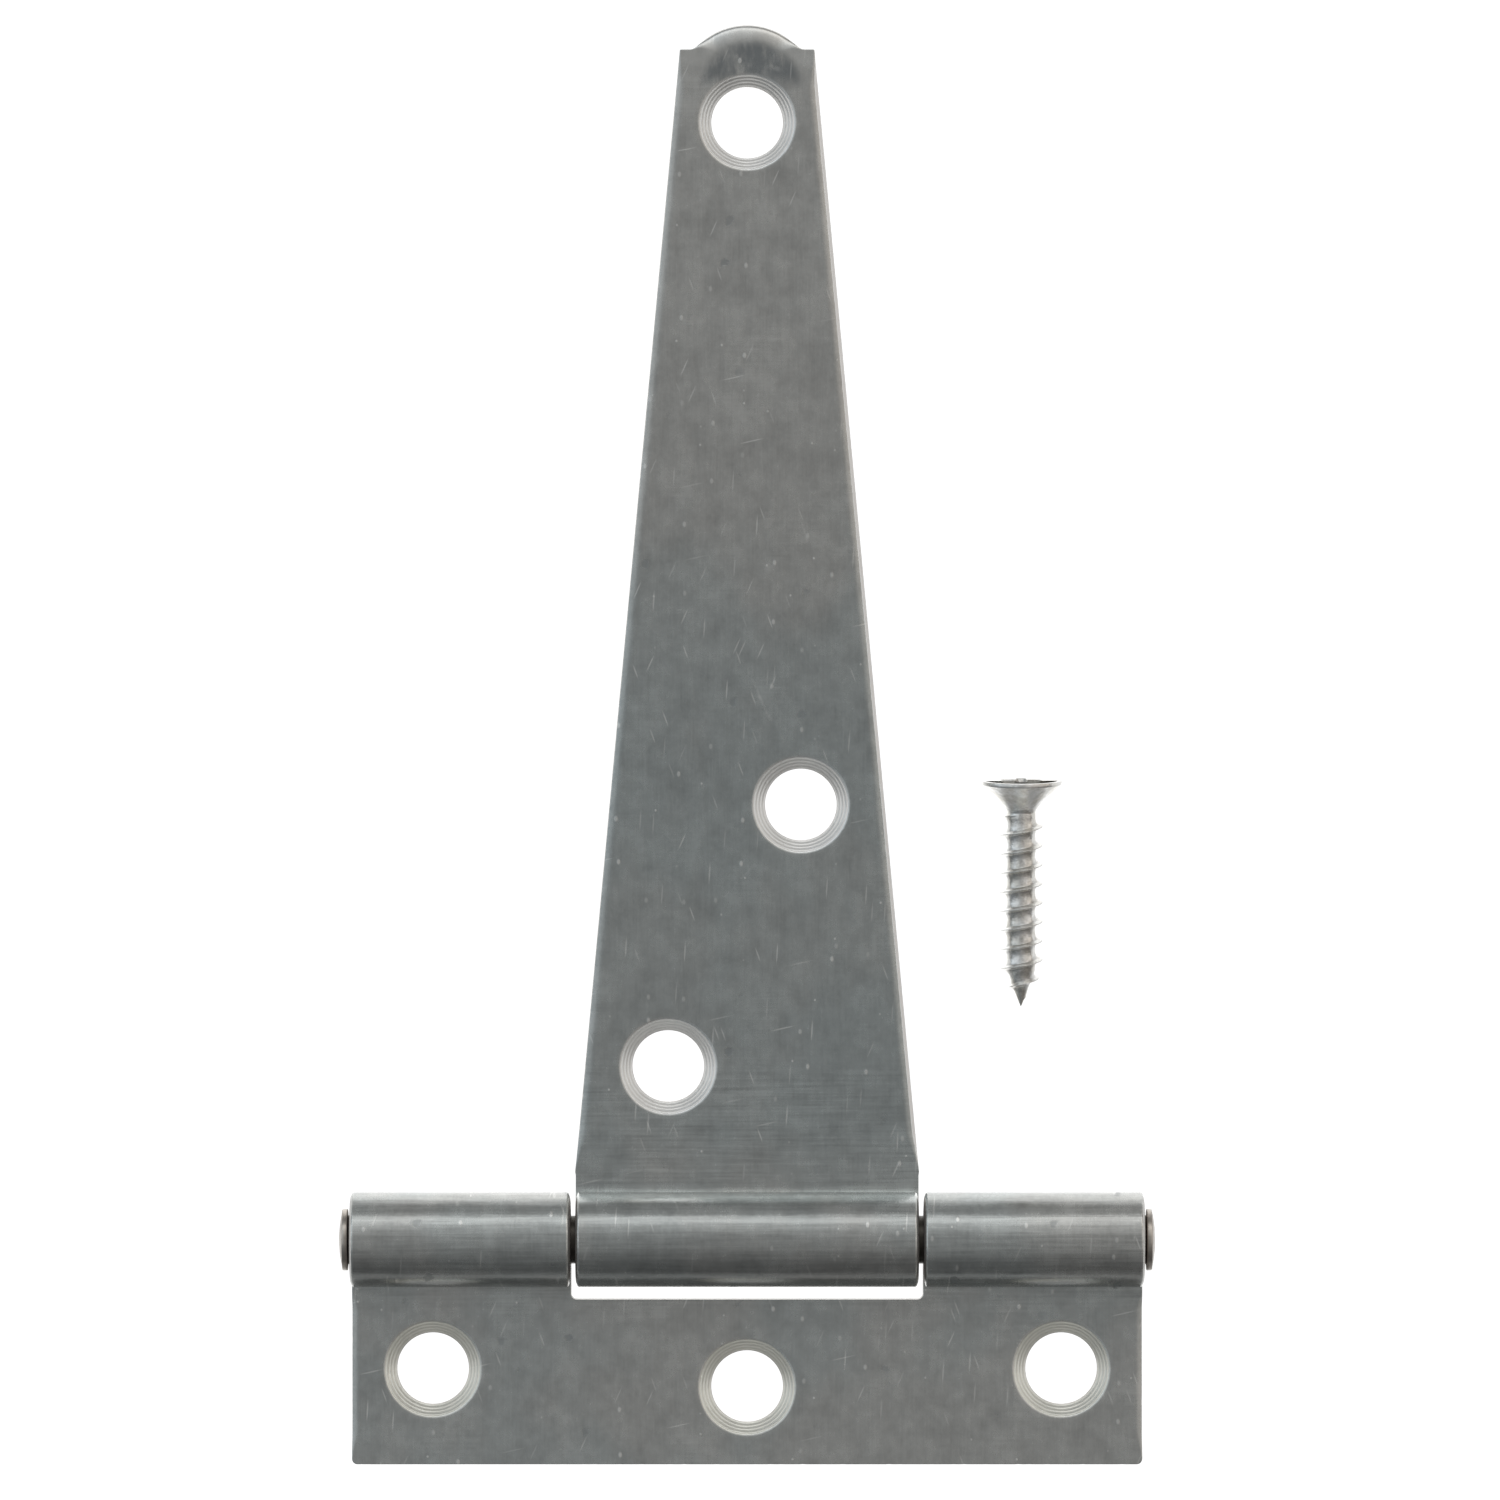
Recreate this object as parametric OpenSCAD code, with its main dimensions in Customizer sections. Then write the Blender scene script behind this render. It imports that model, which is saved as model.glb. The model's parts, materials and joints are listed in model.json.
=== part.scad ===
// T hinge: a long tapered strap leaf and a short wide butt leaf, both of zinc-plated sheet
// rolled round one fixed pin, with a loose wood screw lying beside the strap.
// The hinge lies open and flat. Its backs are on z = 0, the pin runs along X above the origin,
// the strap points along +Y and the front faces +Z.

/* [Sheet] */
// Thickness of the sheet that both leaves are made of
sheet_t = 1.9; // [1.3:0.05:2.6]

/* [Pin] */
// Diameter of the pin's shank
pin_d = 4; // [3:0.1:6]
// Radial clearance between the shank and the rolled knuckles
pin_clearance = 0.05; // [0.02:0.01:0.1]
// How far each peened head stands out past the shank, all round
pin_head_overhang = 0.575; // [0.3:0.025:1]
// Height of each peened head
pin_head_h = 0.75; // [0.5:0.05:1.5]
// Height of the straight rim below each head's dome
pin_head_rim_h = 0.45; // [0.1:0.05:0.45]
// Gap between each head and the knuckle that it holds
pin_head_gap = 0.13; // [0.05:0.01:0.4]

/* [Knuckles] */
// Length of the strap's middle knuckle, at its bore
strap_knuckle_l = 28.7; // [20:0.1:36]
// End gap between neighbouring knuckles, at the bore
knuckle_gap = 0.35; // [0.3:0.05:1]
// How much each knuckle end draws in between the bore and the outer surface
knuckle_end_draw = 0.25; // [0.05:0.05:0.4]
// How far the outer knuckles stand out past the butt leaf's sides, at the bore
knuckle_proud = 0.1; // [0:0.01:0.4]
// Gap between the rolled end of the sheet and the front of its own leaf
seam_gap = 0.1; // [0.05:0.05:0.5]

/* [Butt leaf] */
// Width of the butt leaf, along the pin
butt_w = 66.15; // [50:0.05:85]
// Distance from the pin's axis to the butt leaf's outer edge
butt_depth = 18.9; // [15:0.1:26]
// Radius of the butt leaf's two outer corners
butt_corner_r = 0.5; // [0.2:0.1:3]
// Clearance between the strap's barrel and the bottom of the cut-out that it turns in
slot_clearance = 1.13; // [0.6:0.01:2]
// Radius of the cut-out's two corners
slot_corner_r = 0.45; // [0.2:0.05:1]

/* [Strap leaf] */
// Length of the strap leaf, from the pin's axis to its tip
strap_l = 101.6; // [76:0.1:160]
// Distance from the barrel to the shoulders where the strap's full width begins
strap_root_setback = 1.5; // [0.5:0.1:3]
// Width of each shoulder at the root
strap_root_step = 0.05; // [0.05:0.05:0.25]
// Width of the strap where its straight sides end
strap_end_w = 11.3; // [10:0.1:16]
// Radius of the rounded tip
strap_tip_r = 5.78; // [5:0.01:8]
// How far the rounded tip stands out past the end of the straight sides
strap_tip_rise = 2.1; // [1:0.1:3]

/* [Screw holes] */
// Diameter of the six screw holes
hole_d = 6; // [4:0.1:7.5]
// Depth of each countersink
csk_depth = 1.15; // [0.6:0.05:1.2]
// Full angle of each countersink
csk_angle = 82; // [80:1:100]
// Distance from the butt leaf's side to its outer holes
butt_hole_side_inset = 6.78; // [5:0.01:10]
// Distance from the butt leaf's outer edge to its two outer holes
butt_outer_hole_inset = 8; // [5.5:0.1:9]
// Distance from the butt leaf's outer edge to its middle hole
butt_middle_hole_inset = 6.5; // [5.5:0.1:7.5]
// Distance from the pin's axis to the strap's first hole
strap_hole_1_y = 14.4; // [12:0.1:20]
// Offset of the strap's first hole from the centre line
strap_hole_1_x = -6.6; // [-8:0.1:8]
// Distance from the pin's axis to the strap's second hole
strap_hole_2_y = 36.3; // [28:0.1:45]
// Offset of the strap's second hole from the centre line
strap_hole_2_x = 4.5; // [-6:0.1:6]
// Distance from the strap's tip to its last hole
strap_tip_hole_inset = 8.2; // [6:0.1:12]

/* [Wood screw] */
// Length of the screw, over all
screw_l = 19.05; // [15:0.05:32]
// Diameter of the screw's head
screw_head_d = 6.8; // [6:0.1:9]
// Height of the straight rim of the head
screw_rim_h = 0.35; // [0.2:0.05:0.6]
// Height of the cone under the rim
screw_cone_h = 1.6; // [1:0.1:2.5]
// Diameter of the small end of that cone
screw_cone_d = 3.2; // [2.8:0.1:4]
// Height of the flare between the cone and the shank
screw_flare_h = 0.75; // [0.4:0.05:1.5]
// Diameter of the shank at the root of the thread
screw_core_d = 2.4; // [2:0.1:3]
// Outer diameter of the thread
screw_thread_d = 3.7; // [3.2:0.1:5]
// Distance between turns of the thread
screw_pitch = 1.6; // [1.2:0.1:2]
// Width of the thread where it leaves the shank
screw_thread_base = 0.5; // [0.3:0.05:0.8]
// Length of the tapered point
screw_point_l = 3.1; // [2.8:0.1:4]
// Width over the cross recess
recess_d = 3.6; // [2.4:0.1:4.5]
// Depth of the cross recess
recess_depth = 1.7; // [1:0.1:2]
// Width of each arm of the cross recess
recess_arm_t = 0.8; // [0.5:0.05:1.2]
// Gap between the strap's root width and the middle of the loose screw, to the side
screw_aside = 8.5; // [5:0.1:20]
// Distance from the barrel to the loose screw's point
screw_ahead = 15.45; // [2:0.05:40]

/* [Hidden] */
$fn = 96;

// How far a cutting shape runs past the surface that it opens
past = 0.5;

bore_r = pin_d / 2 + pin_clearance;
barrel_r = bore_r + sheet_t;
// The backs are flush with the barrels, so the axis stands one barrel radius above z = 0
axis_z = barrel_r;
// The rolled sheet stops where its outer edge comes down to the front of its leaf
wrap_angle = 360 - acos((bore_r - seam_gap) / barrel_r);

slot_w = strap_knuckle_l + 2 * knuckle_gap;
slot_y = barrel_r + slot_clearance;
butt_knuckle_end = butt_w / 2 + knuckle_proud;
butt_knuckle_l = butt_knuckle_end - slot_w / 2;

strap_root_y = barrel_r + strap_root_setback;
// How far the strap's narrower root runs into its full width
root_overlap = 0.1;
strap_root_w = strap_knuckle_l + 2 * strap_root_step;
strap_end_y = strap_l - strap_tip_rise;

hole_wall = sheet_t - csk_depth;
csk_slope = tan(csk_angle / 2);

pin_head_d = pin_d + 2 * pin_head_overhang;
pin_shank_l = 2 * (butt_knuckle_end + pin_head_gap);
pin_dome_h = pin_head_h - pin_head_rim_h;
pin_dome_r = (pow(pin_head_d / 2, 2) + pow(pin_dome_h, 2)) / (2 * pin_dome_h);

// The shank's top is sunk this far into the flare, which stands this far proud of it
shank_sink = 0.3;
flare_proud = 0.05;
screw_head_h = screw_rim_h + screw_cone_h + screw_flare_h;
shank_top = screw_l - screw_head_h + shank_sink;
// The thread runs from just behind the point to just below the flare, and fades at both ends
thread_start = 0.8;
thread_clear = 0.35;
thread_stop = screw_l - screw_head_h - thread_clear;
thread_steps = 24;
thread_count = floor(thread_steps * (thread_stop - thread_start) / screw_pitch);
fade_in_turns = 1.5;
fade_out_turns = 0.5;
fade_in_steps = fade_in_turns * thread_steps;
fade_out_steps = fade_out_turns * thread_steps;
// Towards the tip of the point the crest shrinks to this share of its height
point_crest_share = 0.35;
// The recess narrows to this share of its width at its floor
recess_floor_share = 0.3;

// The loose screw rests on the rim of its head and on the thread where the point begins
screw_tilt = atan((screw_head_d - screw_thread_d) / 2 / (screw_l - screw_rim_h - screw_point_l));
screw_point_z = screw_thread_d / 2 * cos(screw_tilt) - screw_point_l * sin(screw_tilt);
screw_place = [strap_root_w / 2 + screw_aside, barrel_r + screw_ahead, screw_point_z];

zinc = [0.55, 0.57, 0.56];
steel = [0.5, 0.47, 0.44];
bright = [0.78, 0.79, 0.78];

// A screw hole through a leaf, countersunk from the front
module screw_hole(x, y) {
  translate([x, y, -past])
    cylinder(d = hole_d, h = sheet_t + 2 * past);
  translate([x, y, hole_wall])
    cylinder(d1 = hole_d, d2 = hole_d + 2 * (csk_depth + past) * csk_slope, h = csk_depth + past);
}

// Sheet rolled round the pin, from a leaf's back at y = 0 round to its front.
// The leaf is on the -Y side, and the ends draw in towards the outer surface.
module rolled_knuckle(length) {
  inner = length / 2;
  outer = length / 2 - knuckle_end_draw;
  translate([0, 0, axis_z])
    rotate([0, 90, 0])
      rotate_extrude(angle = wrap_angle)
        polygon([[bore_r, -inner], [barrel_r, -outer], [barrel_r, outer], [bore_r, inner]]);
}

// A rectangle from y = 0 to y = -depth whose two far corners are rounded
module tab(width, depth, corner_r) {
  translate([-width / 2, corner_r - depth])
    square([width, depth - corner_r]);
  translate([corner_r - width / 2, -depth])
    square([width - 2 * corner_r, depth]);
  for (side = [-1, 1])
    translate([side * (width / 2 - corner_r), corner_r - depth])
      circle(r = corner_r);
}

module butt_outline() {
  difference() {
    tab(butt_w, butt_depth, butt_corner_r);
    tab(slot_w, slot_y, slot_corner_r);
    translate([-slot_w / 2, -slot_corner_r])
      square([slot_w, slot_corner_r + past]);
  }
}

module butt_leaf() {
  hole_x = butt_w / 2 - butt_hole_side_inset;
  color(zinc)
    union() {
      difference() {
        linear_extrude(height = sheet_t)
          butt_outline();
        for (side = [-1, 1])
          screw_hole(side * hole_x, butt_outer_hole_inset - butt_depth);
        screw_hole(0, butt_middle_hole_inset - butt_depth);
      }
      for (side = [-1, 1])
        translate([side * (slot_w + butt_knuckle_l) / 2, 0, 0])
          rolled_knuckle(butt_knuckle_l);
    }
}

// The strap tapers in a straight line from its root to the shoulders of its rounded tip
module strap_outline() {
  root = strap_root_w / 2;
  end = strap_end_w / 2;
  translate([-strap_knuckle_l / 2, 0])
    square([strap_knuckle_l, strap_root_y + root_overlap]);
  polygon([[-root, strap_root_y], [root, strap_root_y], [end, strap_end_y], [-end, strap_end_y]]);
  translate([0, strap_l - strap_tip_r])
    circle(r = strap_tip_r);
}

module strap_leaf() {
  color(zinc)
    union() {
      difference() {
        linear_extrude(height = sheet_t)
          strap_outline();
        screw_hole(strap_hole_1_x, strap_hole_1_y);
        screw_hole(strap_hole_2_x, strap_hole_2_y);
        screw_hole(0, strap_l - strap_tip_hole_inset);
      }
      mirror([0, 1, 0])
        rolled_knuckle(strap_knuckle_l);
    }
}

// A head peened over the end of the shank: a short rim and a low dome
module pin_head() {
  intersection() {
    cylinder(d = pin_head_d, h = pin_head_h);
    translate([0, 0, pin_head_h - pin_dome_r])
      sphere(r = pin_dome_r);
  }
}

module hinge_pin() {
  color(steel)
    translate([0, 0, axis_z])
      rotate([0, 90, 0])
        union() {
          cylinder(d = pin_d, h = pin_shank_l, center = true);
          for (end = [0, 1])
            mirror([0, 0, end])
              translate([0, 0, pin_shank_l / 2])
                pin_head();
        }
}

// Radius of the shank at a height above the point
function core_r(z) = screw_core_d / 2 * min(1, z / screw_point_l);

// Height of the thread's crest above the shank at one step along the helix
function crest_h(i) =
  (screw_thread_d - screw_core_d) / 2 * min(1, i / fade_in_steps, (thread_count - i) / fade_out_steps);

// How much of that crest is left at a height on the tapered point
function point_crest(z) = min(1, point_crest_share + (1 - point_crest_share) * z / screw_point_l);

// A point on the thread: a share of the crest's height, at an offset from the helix's own height
function thread_point(i, share, offset) =
  let (
    z = thread_start + screw_pitch * i / thread_steps + offset,
    r = core_r(z) + share * crest_h(i) * point_crest(z),
    a = 360 * i / thread_steps
  )
  [r * cos(a), r * sin(a), z];

// Two triangles between neighbouring points of a lower and an upper line
function strip(low_0, low_1, high_0, high_1) = [[low_0, high_0, high_1], [low_0, high_1, low_1]];

// The pointed, threaded shank as one closed skin. Three lines run up the helix: the thread's
// lower root, its crest and its upper root. Each upper root joins the lower root one turn on.
module threaded_shank() {
  n = thread_steps;
  count = thread_count;
  half = screw_thread_base / 2;
  low = 1;
  crest = low + count + 1;
  high = crest + count + 1;
  rim = high + count + 1;
  first = count - n;
  top_r = core_r(shank_top);
  points = concat(
    [[0, 0, 0]],
    [for (i = [0 : count]) thread_point(i, 0, -half)],
    [for (i = [0 : count]) thread_point(i, 1, 0)],
    [for (i = [0 : count]) thread_point(i, 0, half)],
    [for (i = [0 : n - 1]) [top_r * cos(360 * i / n), top_r * sin(360 * i / n), shank_top]]
  );
  flanks = [
    for (i = [0 : count - 1])
      each concat(
        strip(low + i, low + i + 1, crest + i, crest + i + 1),
        strip(crest + i, crest + i + 1, high + i, high + i + 1)
      )
  ];
  roots = [
    for (i = [0 : first - 1])
      each strip(high + i, high + i + 1, low + i + n, low + i + n + 1)
  ];
  // The point closes on the first turn, whose end meets the start of the helix along one line
  point_side = [for (i = [0 : n - 2]) [0, low + i, low + i + 1]];
  start_chain = [low + n, high, crest, low, 0];
  point_end = [for (k = [0 : 3]) [low + n - 1, start_chain[k], start_chain[k + 1]]];
  // The plain top of the shank closes on the last turn in the same way
  top_side = [
    for (i = [first + 1 : count - 1])
      each strip(high + i, high + i + 1, rim + i % n, rim + (i + 1) % n)
  ];
  stop_rim = [rim + first % n, rim + (first + 1) % n];
  stop_chain = concat([high + first, low + count, crest + count, high + count], stop_rim);
  top_end = [for (k = [0 : 4]) [high + first + 1, stop_chain[k], stop_chain[k + 1]]];
  top_cap = [[for (i = [n - 1 : -1 : 0]) rim + i]];
  polyhedron(points, concat(flanks, roots, point_side, point_end, top_side, top_end, top_cap));
}

module screw_head() {
  cone_z = screw_l - screw_rim_h - screw_cone_h;
  flare_z = screw_l - screw_head_h;
  rotate_extrude()
    polygon([
      [0, flare_z],
      [screw_core_d / 2 + flare_proud, flare_z],
      [screw_cone_d / 2, cone_z],
      [screw_head_d / 2, screw_l - screw_rim_h],
      [screw_head_d / 2, screw_l],
      [0, screw_l]
    ]);
}

// The cross recess: two crossed arms that narrow towards the floor
module cross_recess() {
  full_h = recess_depth + past;
  slope = (1 - recess_floor_share) * recess_d / recess_depth;
  translate([0, 0, screw_l - recess_depth])
    intersection() {
      cylinder(d1 = recess_floor_share * recess_d, d2 = recess_d + slope * past, h = full_h);
      union()
        for (turn = [0, 90])
          rotate(turn)
            translate([-recess_d, -recess_arm_t / 2, 0])
              cube([2 * recess_d, recess_arm_t, full_h]);
    }
}

module wood_screw() {
  color(bright)
    translate(screw_place)
      rotate([screw_tilt - 90, 0, 0])
        union() {
          difference() {
            screw_head();
            cross_recess();
          }
          threaded_shank();
        }
}

strap_leaf();
butt_leaf();
hinge_pin();
wood_screw();
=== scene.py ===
import json
import math
import bmesh
import bpy
from mathutils import Matrix, Vector, noise


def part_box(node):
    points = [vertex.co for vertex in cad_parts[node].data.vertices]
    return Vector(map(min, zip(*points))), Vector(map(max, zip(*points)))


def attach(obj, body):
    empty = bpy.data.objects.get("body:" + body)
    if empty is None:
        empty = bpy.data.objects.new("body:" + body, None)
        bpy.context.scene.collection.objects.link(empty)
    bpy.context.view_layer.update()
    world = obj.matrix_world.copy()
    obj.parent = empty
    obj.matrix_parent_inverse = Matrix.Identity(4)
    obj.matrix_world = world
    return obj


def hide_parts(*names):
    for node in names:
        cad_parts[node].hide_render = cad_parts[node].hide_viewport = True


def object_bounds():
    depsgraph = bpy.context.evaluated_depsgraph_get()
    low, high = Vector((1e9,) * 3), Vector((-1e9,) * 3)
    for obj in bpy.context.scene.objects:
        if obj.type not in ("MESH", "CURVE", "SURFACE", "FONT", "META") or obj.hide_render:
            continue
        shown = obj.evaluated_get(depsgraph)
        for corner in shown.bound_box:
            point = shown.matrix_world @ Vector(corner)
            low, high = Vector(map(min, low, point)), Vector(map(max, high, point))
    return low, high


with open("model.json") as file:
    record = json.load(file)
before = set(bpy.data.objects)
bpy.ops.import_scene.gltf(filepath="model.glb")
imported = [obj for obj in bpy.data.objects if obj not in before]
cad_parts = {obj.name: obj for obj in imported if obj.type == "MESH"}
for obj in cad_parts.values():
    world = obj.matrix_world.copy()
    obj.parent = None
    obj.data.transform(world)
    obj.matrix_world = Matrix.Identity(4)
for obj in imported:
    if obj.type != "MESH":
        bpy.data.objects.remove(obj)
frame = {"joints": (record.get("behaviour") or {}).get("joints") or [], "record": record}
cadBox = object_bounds()
mm = 0.001

# low and high corners of the parts, in metres
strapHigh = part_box("strap_leaf")[1]
buttLow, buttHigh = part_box("butt_leaf")
pinLow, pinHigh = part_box("hinge_pin")
screwLow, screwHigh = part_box("wood_screw")
swing = next(joint for joint in frame["joints"] if joint["name"] == "strap_swing")
axisZ = swing["pos_m"][2]
mounts = {mount["name"]: mount for mount in frame["record"]["mounts"]}

sheet = {
    "thickness": 1.9 * mm,
    "burr": 0.10 * mm,          # rounding of the edge on the back
    "burrPoints": 4,
    "backStrip": 0.03 * mm,     # flat strip of the back beside that rounding
    "wallPoints": 6,
    "rollPoints": 10,
    "burrWear": 0.6,            # how bright the edges are rubbed, 0 to 1
    "wallWear": 0.1,
    "rollWear": 0.55,
    "rollRaw": 0.4,             # how much bare steel shows where the sheared wall ends
    "rollWave": 0.16,           # unevenness of the die roll along an edge
    "waveSize": 2.2 * mm,
    "nickSize": 0.45 * mm,
    "arcStep": math.radians(9),
    "hollowDepth": 1.15 * mm,   # countersink
    "hollowRadius": 4.0 * mm,
    "dishRadius": 4.45 * mm,    # round a countersink the metal is pulled in as far out as this
    "holePoints": 112,
    "endDraw": 0.06 * mm,       # the rolled ends draw in at the outer surface
    "endRounding": 0.19 * mm,   # and round off this much more at the very outside
    "endRoundingDepth": 0.7 * mm,
    "endTurn": math.radians(70),   # into the roll by which that is complete
    "seamGap": 0.1 * mm,
    "rollStations": 120,
}
barrelR = axisZ
boreR = barrelR - sheet["thickness"]
wrapAngle = 2 * math.pi - math.acos((boreR - sheet["seamGap"]) / barrelR)


def smoothStep(t):
    t = min(max(t, 0.0), 1.0)
    return t * t * (3 - 2 * t)


# node trees

class Wire:
    # a socket in a node tree: sums on it add Math nodes, and node() adds any other kind of node
    def __init__(self, tree, socket=None):
        self.tree, self.socket = tree, socket

    def node(self, kind, settings, inputs, out=0):
        made = self.tree.nodes.new("ShaderNode" + kind)
        for key, value in settings.items():
            setattr(made, key, value)
        ready = [s for s in made.inputs if s.enabled]
        for key, value in inputs.items():
            socket = ready[key] if isinstance(key, int) else next(s for s in ready if s.name == key)
            if isinstance(value, Wire):
                self.tree.links.new(value.socket, socket)
            elif socket.type == "RGBA":
                socket.default_value = (*value, 1.0)
            else:
                socket.default_value = value
        if isinstance(out, int):
            return Wire(self.tree, [s for s in made.outputs if s.enabled][out])
        return [Wire(self.tree, made.outputs[name]) for name in out]

    def math(self, operation, *values):
        return self.node("Math", {"operation": operation}, dict(enumerate(values)))

    def __add__(self, other):
        return self.math("ADD", self, other)

    def __radd__(self, other):
        return self.math("ADD", other, self)

    def __sub__(self, other):
        return self.math("SUBTRACT", self, other)

    def __rsub__(self, other):
        return self.math("SUBTRACT", other, self)

    def __mul__(self, other):
        return self.math("MULTIPLY", self, other)

    def __rmul__(self, other):
        return self.math("MULTIPLY", other, self)

    def __gt__(self, other):
        return self.math("GREATER_THAN", self, other)

    def __abs__(self):
        return self.math("ABSOLUTE", self)

    def sine(self):
        return self.math("SINE", self)

    def step(self, low, high):
        # 0 up to low, 1 from high on, smooth between; low may be the greater one
        settings = {"interpolation_type": "SMOOTHSTEP"}
        inputs = {"Value": self, "From Min": low, "From Max": high}
        return self.node("MapRange", settings, inputs)

    def mix(self, first, second):
        return self.node("Mix", {"data_type": "RGBA"}, {"Factor": self, "A": first, "B": second})

    def tone(self, amount):
        return self.node("VectorMath", {"operation": "SCALE"}, {"Vector": self, "Scale": amount})

    def grain(self, size, seed, detail=3.0, roughness=0.5):
        # noise on a position in millimetres; size is that of one patch along x, y and z
        shift = (seed, seed * 0.7, seed * 1.3)
        parts = {0: self, 1: [1 / s for s in size], 2: shift}
        where = self.node("VectorMath", {"operation": "MULTIPLY_ADD"}, parts)
        inputs = {"Vector": where, "Scale": 1.0, "Detail": detail, "Roughness": roughness}
        return where.node("TexNoise", {"noise_dimensions": "3D"}, inputs)

    def fleck(self, size, seed, reach, share, turn=0.0):
        # scattered marks: one cell in so many holds a soft spot, stretched and turned about z
        turned = self.node("VectorRotate", {"rotation_type": "Z_AXIS"}, {"Vector": self, "Angle": turn})
        shift = (seed, seed * 1.7, 0.5)
        parts = {0: turned, 1: [1 / s for s in size], 2: shift}
        where = turned.node("VectorMath", {"operation": "MULTIPLY_ADD"}, parts)
        cells = {"Vector": where, "Scale": 1.0}
        settings = {"voronoi_dimensions": "2D"}
        distance, colour = where.node("TexVoronoi", settings, cells, ["Distance", "Color"])
        red, green = colour.node("SeparateColor", {}, {"Color": colour}, ["Red", "Green"])
        return distance.step(reach, reach * 0.35) * (red > 1 - share) * (green * 0.7 + 0.3)


def newFinish(name):
    material = bpy.data.materials.new(name)
    material.use_nodes = True
    material.node_tree.nodes.clear()
    start = Wire(material.node_tree)
    place = start.node("TexCoord", {}, {}, ["Object"])[0]
    return material, start, place.tone(1000.0)   # object coordinates in millimetres


def closeFinish(start, colour, roughness, height, settings):
    bump = start.node("Bump", {}, {"Strength": 1.0, "Distance": mm, "Height": height})
    inputs = {"Base Color": colour, "Roughness": roughness, "Normal": bump, **settings}
    surface = start.node("BsdfPrincipled", {}, inputs)
    start.node("OutputMaterial", {}, {"Surface": surface}, [])


# marks on the points of a mesh: rubbed edges, drilled surfaces or painted shade on hidden ones, distance
# from a hole's middle in millimetres, and bare sheared steel
markNames = ("edgeWear", "cutOrShaded", "ringRadius", "sheared")


def attribute(start, name):
    return start.node("Attribute", {"attribute_name": name}, {}, ["Fac"])[0]


zinc = {
    "blue": (0.44, 0.475, 0.47),      # the plating, which turns to olive up the strap
    "olive": (0.50, 0.50, 0.48),
    "worn": (0.86, 0.86, 0.83),
    "dull": (0.22, 0.24, 0.25),
    "sheared": (0.54, 0.51, 0.48),
    "metal": 0.8,                     # the rest is the passivated film, which scatters light
    # grains: size of a patch in millimetres, seed, detail and roughness
    "patch": ((15.0, 22.5, 9), 0, 3.5, 0.55),
    "cloud": ((5, 6, 5), 9, 4, 0.6),
    "mottle": ((1.6, 1.92, 2), 4, 6, 0.68),
    "streak": ((0.16, 3.2, 0.6), 13, 3, 0.6),
    "rolled": ((7, 0.22, 1), 17, 3, 0.6),
    "nick": ((0.35, 0.5, 0.5), 41, 3, 0.7),
    "wander": ((0.5, 0.4, 0.5), 3, 2, 0.5),
    "drift": ((24, 34, 20), 21, 0.5, 0.4),
    "blot": ((1.3, 3.6, 3), 71, 4, 0.65),
    # marks: size of a cell in millimetres, seed, reach within a cell, share of cells, turn, strength
    "specks": (
        ((2.6, 4.2, 1), 0, 0.075, 0.30, 0.0, 1.0),
        ((1.9, 2.6, 1), 31, 0.055, 0.16, 0.0, 1.0),
    ),
    "spots": (
        ((6.5, 6.0, 1), 57, 0.075, 0.30, 0.0, 1.0),
        ((3.1, 2.9, 1), 83, 0.08, 0.12, 0.0, 0.5),
    ),
    "scratches": (
        ((0.55, 7.0, 1), 0, 0.16, 0.10, 0.06, 1.0),
        ((0.5, 5.0, 1), 7, 0.16, 0.05, -0.35, 1.0),
        ((0.5, 6.0, 1), 14, 0.16, 0.05, 0.42, 1.0),
        ((0.5, 8.0, 1), 21, 0.16, 0.03, 1.35, 1.0),
    ),
    "ridgePitch": 0.26,               # millimetres between the ridges in a countersink
    "ridgeTone": 0.07,
    "tone": 0.64,                     # lightness without grain, then what each grain adds to it
    "mottleTone": 0.66,
    "cloudTone": 0.34,
    "streakTone": 0.22,
    "rolledTone": 0.75,
    "olivePatches": 0.4,
    "oliveFrom": 25,                  # places along the strap, in millimetres from the pin
    "oliveTo": 88,
    # painted light: from here to there the strap is painted lighter by so much, as its face nearer the tip
    # reflects more of the key light
    "paintedLightFrom": 40,
    "paintedLightTo": 95,
    "paintedLightTone": 0.14,
    "spotShare": 0.5,                 # how strongly each kind of mark shows
    "stainShare": 0.82,
    "rimShare": 0.3,
    "scratchShare": 0.55,
    "hairShare": 0.35,
    "speckShare": 0.75,
    "roughness": 0.26,                # then what the rest adds to it
    "mottleRough": 0.14,
    "cloudRough": 0.10,
    "spotRough": 0.12,
    "boredRough": 0.10,
    "shearedRough": 0.2,
    "cloudRelief": 0.05,              # relief in millimetres
    "mottleRelief": 0.014,
    "streakRelief": 0.0016,
    "rolledRelief": 0.006,
    "speckRelief": 0.010,
    "spotRelief": -0.012,
    "scratchRelief": -0.004,
    "hairRelief": -0.002,
    "ridgeRelief": 0.010,
}
strapPlate = {
    "seed": 2.0,
    "rolledFrom": -4.0,               # the lines that rolling left run from here to there, along y
    "rolledTo": 12.0,
    "turned": (0.95, 0.95, 0.93),     # the cut surface of the countersinks
    # painted light: each leaf has its own level of lightness for the light that reaches it, the strap darker
    "tone": 0.94,
    "seamHighlightTone": 0.6,                  # painted highlight: how bright a strip is painted, front and back, where the roll closes
    "tipCentre": (0.3, 95.8, 1.9),    # a stain lies on an arc round this, and a pale rim outside it
}
buttPlate = {
    "seed": 19.0,
    "rolledFrom": -4.0,
    "rolledTo": 4.0,
    "turned": (0.93, 0.93, 0.86),
    # painted light: each leaf has its own level of lightness for the light that reaches it, the butt lighter
    "tone": 1.02,
    "seamHighlightTone": 0.0,
    "tipCentre": (60.0, 0.0, 0.0),    # off the leaf, so it has neither
}


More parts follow.
